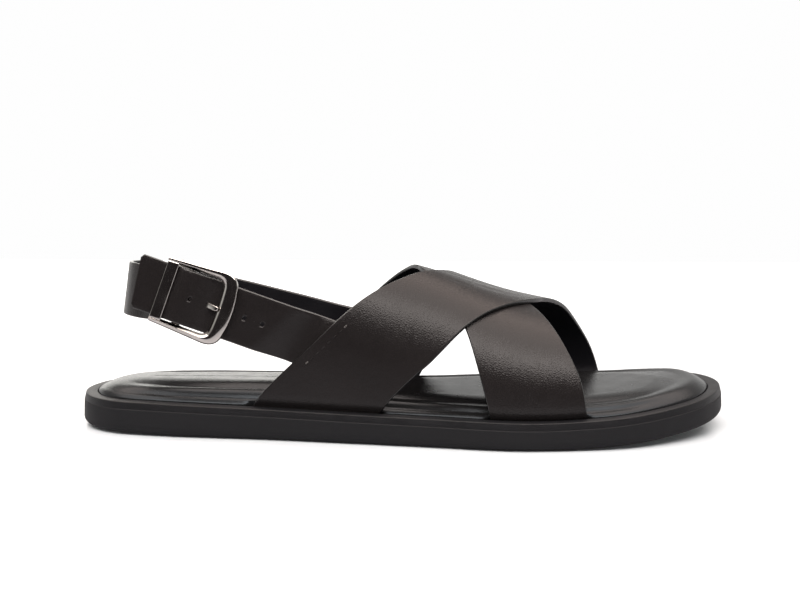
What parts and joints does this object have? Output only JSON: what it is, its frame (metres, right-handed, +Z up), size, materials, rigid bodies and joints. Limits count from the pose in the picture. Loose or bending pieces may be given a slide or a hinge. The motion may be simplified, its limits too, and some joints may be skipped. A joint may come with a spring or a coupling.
{
  "type": "cross-strap sandal",
  "caption": "Right-foot leather sandal with crossed instep straps, a buckled heel strap, a padded footbed and a flat rubber sole.",
  "frame": {"origin": "middle of the sole's bounding box, on the ground under the sole", "axes": "+X along the shoe to the toe, +Y to the inner (medial) side of the foot, +Z up"},
  "size_m": [0.2886, 0.1047, 0.0794],
  "materials": {
    "sole_rubber": "matte black moulded rubber",
    "rim_rubber": "matte black moulded rubber with a fine grain",
    "footbed_leather": "smooth black leather over padding, satin",
    "strap_leather": "very dark brown fine-grained leather, semi-gloss, with black edges",
    "buckle_metal": "polished gunmetal plating"
  },
  "bodies": {
    "root": {"outsole": "sole_rubber", "midsole": "rim_rubber", "insole": "footbed_leather", "upper": "strap_leather", "heel_strap": "strap_leather", "billet_strap": "strap_leather", "buckle_frame": "buckle_metal", "buckle_prong": "buckle_metal"}
  },
  "joints": []
}
